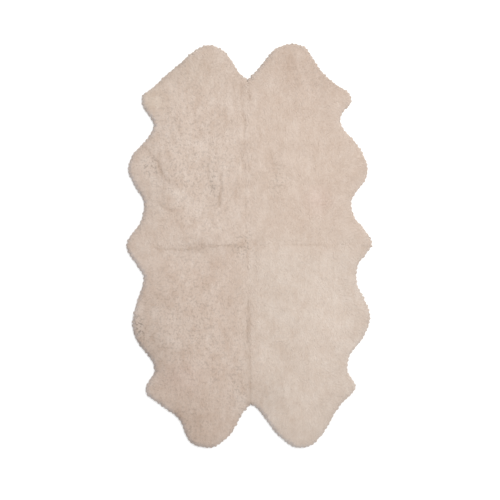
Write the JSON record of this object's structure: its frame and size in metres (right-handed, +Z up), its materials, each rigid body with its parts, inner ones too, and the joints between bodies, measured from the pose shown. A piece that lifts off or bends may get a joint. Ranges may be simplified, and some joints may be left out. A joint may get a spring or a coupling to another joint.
{
  "type": "sheepskin rug",
  "caption": "Rug of sheepskin pelts sewn edge to edge along a long seam and a cross seam, lying flat with short curly wool up and locks falling over its lobed edge.",
  "frame": {"origin": "On the floor under the middle of the rug's bounding box. The two seams cross within 10 mm of it.", "axes": "+Z up, with the wool up. +Y along the long seam, towards the end with the shallower notch. +X along the cross seam, to the right as seen from above."},
  "size_m": [1.1112, 1.8272, 0.0304],
  "materials": {
    "wool": "matt short curly sheep's wool, undyed beige",
    "leather": "matt tanned suede, pale tan"
  },
  "bodies": {
    "root": {"fleece_upper_left": "wool", "fleece_upper_right": "wool", "fleece_lower_left": "wool", "fleece_lower_right": "wool", "hide_upper_left": "leather", "hide_upper_right": "leather", "hide_lower_left": "leather", "hide_lower_right": "leather"}
  },
  "joints": []
}
